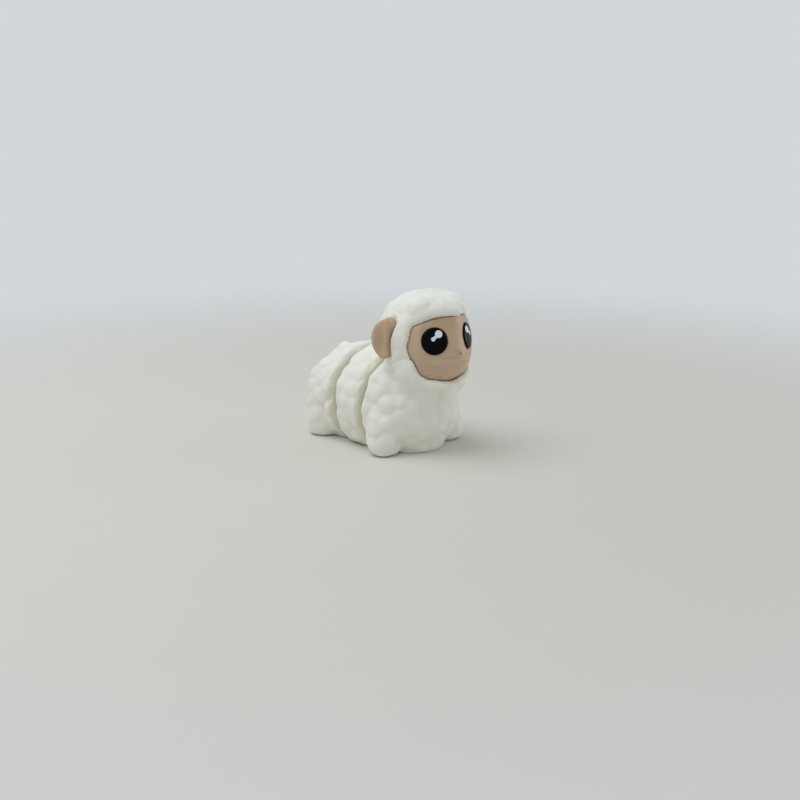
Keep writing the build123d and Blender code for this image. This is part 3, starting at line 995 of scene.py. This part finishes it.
class SHEEP_OT_eyes(bpy.types.Operator):
    """Make the glossy eyes and their inlaid highlights"""

    bl_idname = "sheep.eyes"
    bl_label = "Eyes"

    def execute(self, context):
        settings = context.scene.sheep_eyes
        black = eye_material(settings)
        white = highlight_material(settings)
        for side in ("right", "left"):
            inlay = search_tree(frame["nodes"][f"{side}_eye_glint"])
            for part, node, material, slot in (
                ("eye", f"{side}_eye", black, "eye_black"),
                ("highlight", f"{side}_eye_glint", white, "glint_white"),
            ):
                piece = even_copy(f"{side}_{part}_shape", node, EYE_FACE_SIZE)
                if part == "eye":
                    gaps = [away_from(inlay, vertex.co, INLAY_REACH) for vertex in piece.data.vertices]
                    soften(piece, [ease(gap, *INLAY_EASE) for gap in gaps], EYE_ROUNDS)
                else:
                    soften(piece, [1] * len(piece.data.vertices), HIGHLIGHT_ROUNDS)
                dress(piece, material)
                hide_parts(node)
                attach(piece, "front")
        return {"FINISHED"}


class SHEEP_OT_stage(bpy.types.Operator):
    """Make the floor, the light and the camera"""

    bl_idname = "sheep.stage"
    bl_label = "Stage"

    def execute(self, context):
        scene = context.scene
        settings = scene.sheep_stage
        self.make_floor(settings)
        self.make_world(scene, settings)
        back = (CAMERA_PLACE - CAMERA_AIM).normalized()
        right = Vector((-back.y, back.x, 0)).normalized()
        axes = (right, back.cross(right), back)
        self.make_lamp("key lamp", axes, KEY_SHARES, KEY_DISTANCE, KEY_SIZE, settings.key_power)
        self.make_lamp("fill lamp", axes, FILL_SHARES, FILL_DISTANCE, FILL_SIZE, settings.fill_power)
        self.make_camera(scene)
        scene.view_settings.view_transform = "Standard"
        return {"FINISHED"}

    def make_floor(self, settings):
        """A pale round floor that fades out far from the object."""
        shape = bmesh.new()
        bmesh.ops.create_circle(shape, cap_ends=True, segments=96, radius=FLOOR_RADIUS)
        floor = new_object("floor", shape)
        material, tree = new_material("pale floor")
        place = tree.place()
        mottle = tree.noise(place, 60.0, 3.0)
        colour = tuple(settings.floor_colour)
        darker = tuple(channel * 0.985 for channel in colour)
        shader = tree.add(
            "ShaderNodeBsdfPrincipled",
            {},
            {"Base Color": tree.blend(mottle, darker, colour), "Roughness": 0.9, "Specular IOR Level": 0.2},
        )
        clear = tree.add("ShaderNodeBsdfTransparent", {}, {"Color": (1.0, 1.0, 1.0)})
        distance = tree.add("ShaderNodeVectorMath", {"operation": "LENGTH"}, {0: place}, output="Value")
        fade = tree.remap(distance, *FLOOR_FADE)
        shader = tree.add("ShaderNodeMixShader", {}, {0: fade, 1: shader, 2: clear})
        tree.add("ShaderNodeOutputMaterial", {}, {"Surface": shader})
        dress(floor, material)

    def make_world(self, scene, settings):
        """Even light from all round, and a pale backdrop for the camera and for reflections."""
        world = bpy.data.worlds.new("pale studio")
        scene.world = world
        tree = Tree(world)
        seen = tree.add("ShaderNodeLightPath", output="Is Camera Ray")
        for name in ("Is Glossy Ray", "Is Transmission Ray"):
            ray = tree.add("ShaderNodeLightPath", output=name)
            seen = seen.combine("MAXIMUM", ray)
        light = tree.add("ShaderNodeBackground", {}, {"Color": LIGHT_COLOUR, "Strength": settings.sky_light})
        backdrop = tuple(settings.backdrop_colour)
        shown = tree.add("ShaderNodeBackground", {}, {"Color": backdrop, "Strength": 1.0})
        mixed = tree.add("ShaderNodeMixShader", {}, {0: seen, 1: light, 2: shown})
        tree.add("ShaderNodeOutputWorld", {}, {"Surface": mixed})

    def make_lamp(self, name, axes, shares, distance, size, power):
        """A large soft lamp turned to the object, in a direction given as shares of the view's axes."""
        direction = Vector()
        for axis, share in zip(axes, shares):
            direction += axis * share
        lamp = bpy.data.lights.new(name, "AREA")
        lamp.shape = "DISK"
        lamp.size = size
        lamp.energy = power
        lamp.color = LIGHT_COLOUR
        holder = bpy.data.objects.new(name, lamp)
        holder.location = CAMERA_AIM + direction.normalized() * distance
        holder.rotation_euler = (-direction).to_track_quat("-Z", "Y").to_euler()
        bpy.context.scene.collection.objects.link(holder)

    def make_camera(self, scene):
        """The camera at the viewing angle of the photograph."""
        camera = bpy.data.cameras.new("camera")
        camera.lens = CAMERA_LENS
        camera.sensor_width = SENSOR_WIDTH
        camera.clip_start = 0.01
        holder = bpy.data.objects.new("camera", camera)
        holder.location = CAMERA_PLACE
        holder.rotation_euler = (CAMERA_AIM - CAMERA_PLACE).to_track_quat("-Z", "Y").to_euler()
        scene.collection.objects.link(holder)
        scene.camera = holder


class SHEEP_PT_panel(bpy.types.Panel):
    """Lists the steps that dress the sheep."""

    bl_idname = "SHEEP_PT_panel"
    bl_label = "Sheep Figurine"
    bl_space_type = "VIEW_3D"
    bl_region_type = "UI"
    bl_category = "Sheep"

    def draw(self, context):
        for name, settings in SETTINGS:
            box = self.layout.box()
            for option in settings.__annotations__:
                box.prop(getattr(context.scene, name), option)
        for step in STEPS:
            self.layout.operator(step.bl_idname)


SETTINGS = (
    ("sheep_fleece", SheepFleeceSettings),
    ("sheep_face", SheepFaceSettings),
    ("sheep_eyes", SheepEyeSettings),
    ("sheep_stage", SheepStageSettings),
)
STEPS = (SHEEP_OT_fleece, SHEEP_OT_face, SHEEP_OT_ears, SHEEP_OT_eyes, SHEEP_OT_stage)


def register():
    """Registers the settings, the steps and the panel."""
    for name, settings in SETTINGS:
        bpy.utils.register_class(settings)
        setattr(bpy.types.Scene, name, PointerProperty(type=settings))
    for step in (*STEPS, SHEEP_PT_panel):
        bpy.utils.register_class(step)


def unregister():
    """Takes the settings, the steps and the panel away again."""
    for step in (SHEEP_PT_panel, *reversed(STEPS)):
        bpy.utils.unregister_class(step)
    for name, settings in reversed(SETTINGS):
        delattr(bpy.types.Scene, name)
        bpy.utils.unregister_class(settings)


def main():
    """Dresses the frame piece by piece."""
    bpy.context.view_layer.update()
    register()
    bpy.ops.sheep.fleece()
    bpy.ops.sheep.face()
    bpy.ops.sheep.ears()
    bpy.ops.sheep.eyes()
    bpy.ops.sheep.stage()


if __name__ == "__main__":
    main()
